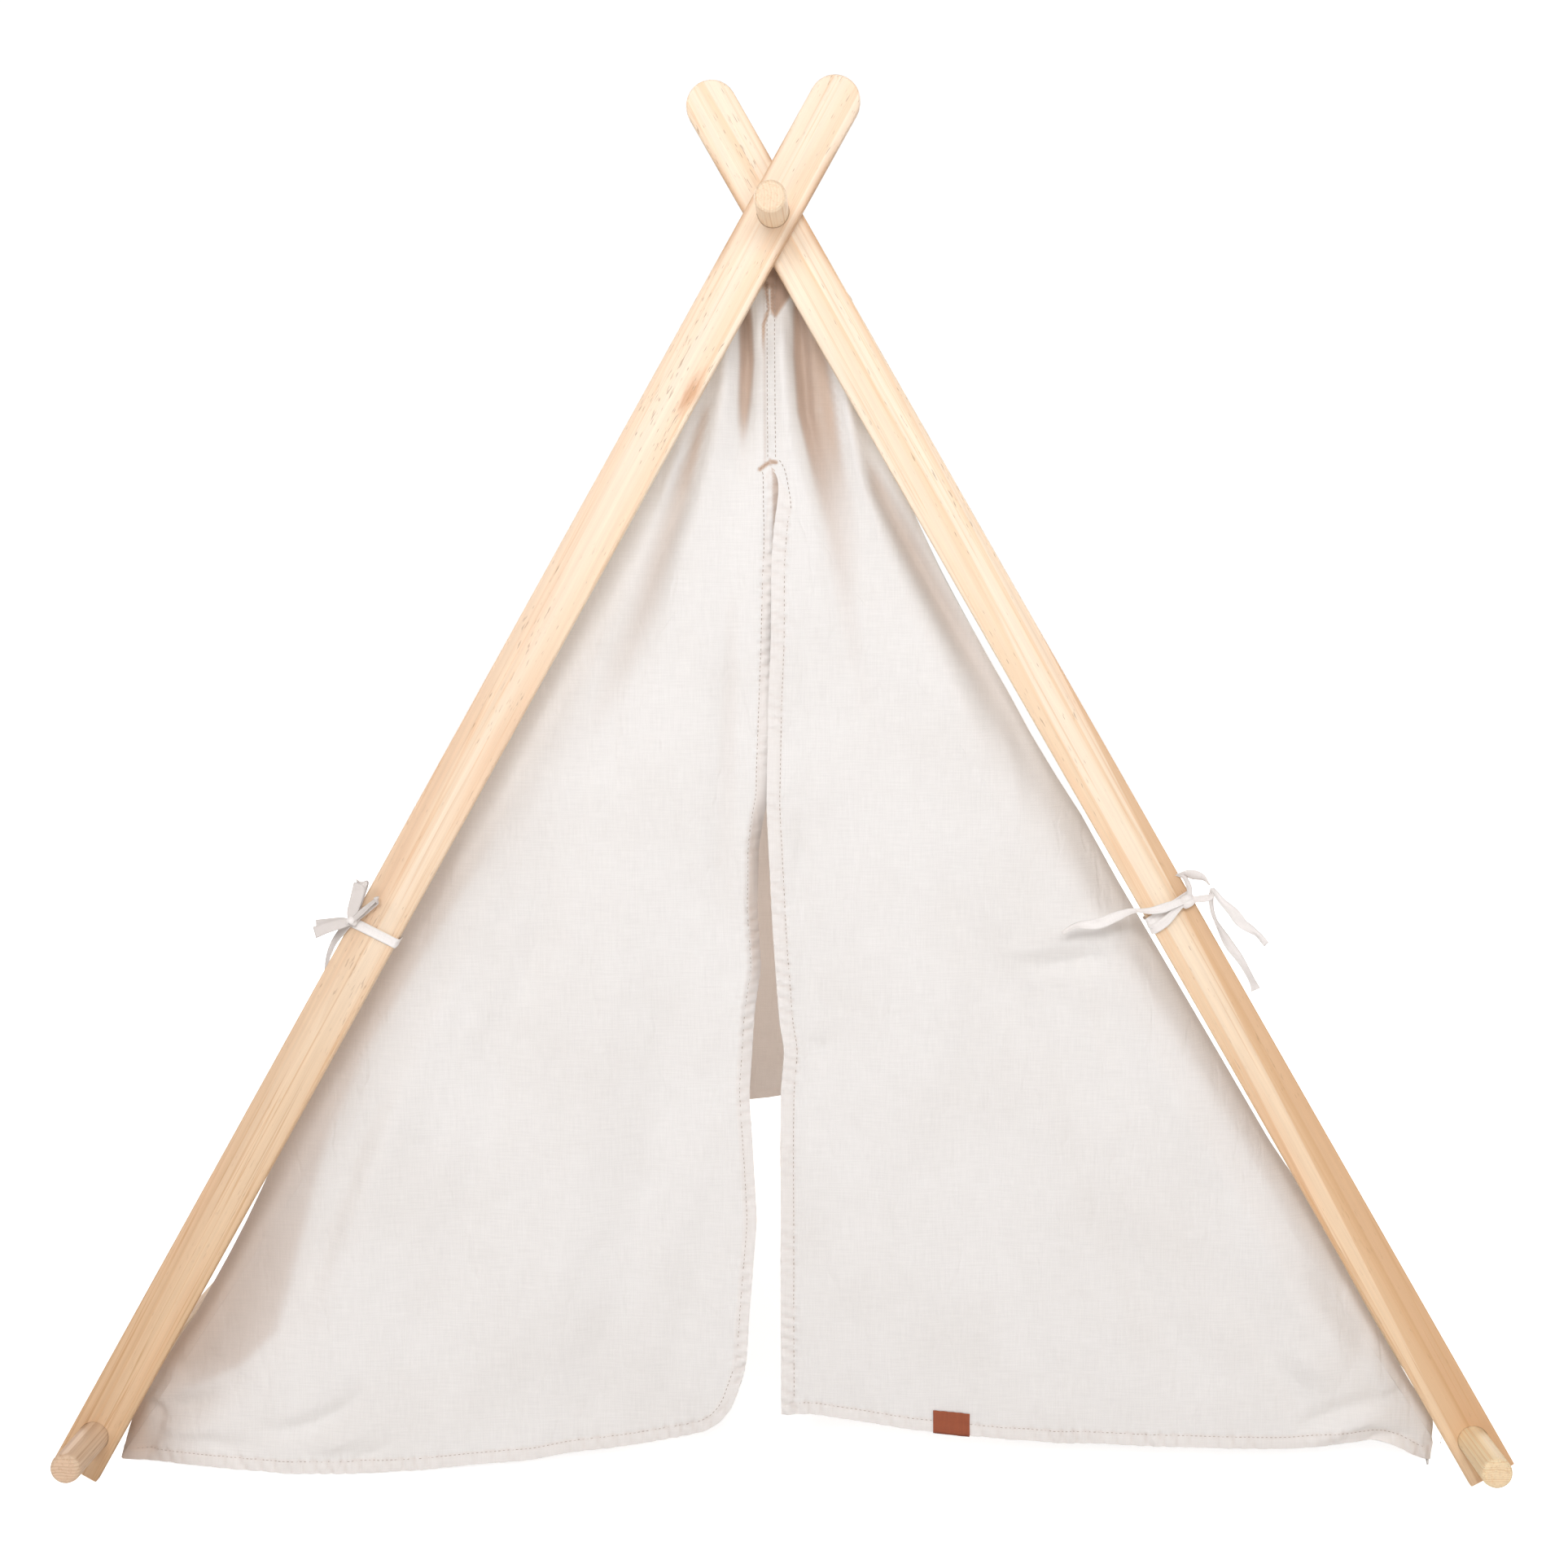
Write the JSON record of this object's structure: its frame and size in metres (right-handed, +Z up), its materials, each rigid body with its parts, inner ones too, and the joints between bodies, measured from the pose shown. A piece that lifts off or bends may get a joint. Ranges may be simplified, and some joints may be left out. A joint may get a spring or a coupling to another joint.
{
  "type": "play tent",
  "caption": "Child's A-frame play tent: pine slat legs hinged on a round ridge pole, base poles, and a cotton cover with a slit doorway, tie tapes and folding leaves.",
  "frame": {"origin": "on the floor, under the middle of the ridge pole, at the bottom centre of the part's box", "axes": "+Z up, the doorway faces -Y, the ridge pole runs along Y, +X is to the right of someone facing the doorway"},
  "size_m": [1.214, 1.332, 1.1395],
  "materials": {
    "pine_slat": "planed pine, straight grain, clear matt",
    "pine_pole": "turned pine dowel with rounded sawn ends",
    "cotton": "undyed plain-weave cotton",
    "cotton_tape": "folded and stitched cotton tape",
    "label_brown": "blank woven tab, rust brown"
  },
  "bodies": {
    "ridge": {"ridge_pole": "pine_pole", "ridge_sleeve": "cotton"},
    "leaf_left": {"leg_front_left": "pine_slat", "leg_rear_left": "pine_slat", "base_pole_left": "pine_pole", "side_panel_left": "cotton", "front_panel_left": "cotton", "back_panel_left": "cotton", "tie_front_left": "cotton_tape", "tie_rear_left": "cotton_tape"},
    "leaf_right": {"leg_front_right": "pine_slat", "leg_rear_right": "pine_slat", "base_pole_right": "pine_pole", "side_panel_right": "cotton", "front_panel_right": "cotton", "back_panel_right": "cotton", "tie_front_right": "cotton_tape", "tie_rear_right": "cotton_tape"},
    "door_left": {"door_flap_left": "cotton"},
    "door_right": {"door_flap_right": "cotton", "hem_label": "label_brown"}
  },
  "joints": [
    {"name": "fold_left", "type": "hinge", "parent": "ridge", "child": "leaf_left", "pos_m": [0, 0, 1.03551], "axis": [0, -1, 0], "range_deg": [0, 25.9], "deforming": ["front_panel_left", "back_panel_left", "door_flap_left", "tie_front_left", "tie_rear_left"]},
    {"name": "fold_right", "type": "hinge", "parent": "ridge", "child": "leaf_right", "pos_m": [0, 0, 1.03551], "axis": [0, 1, 0], "range_deg": [0, 25.9], "deforming": ["front_panel_right", "back_panel_right", "door_flap_right", "hem_label", "tie_front_right", "tie_rear_right"]},
    {"name": "door_left_swing", "type": "hinge", "parent": "leaf_left", "child": "door_left", "pos_m": [-0.004, -0.5657, 0.84], "axis": [-0.5561, 0, -0.8311], "range_deg": [-75, 85]},
    {"name": "door_right_swing", "type": "hinge", "parent": "leaf_right", "child": "door_right", "pos_m": [-0.004, -0.5657, 0.84], "axis": [-0.5625, 0, 0.8268], "range_deg": [-75, 85]}
  ],
  "couplings": [
    {"joint": "fold_right", "follows": "fold_left", "ratio": 1}
  ]
}
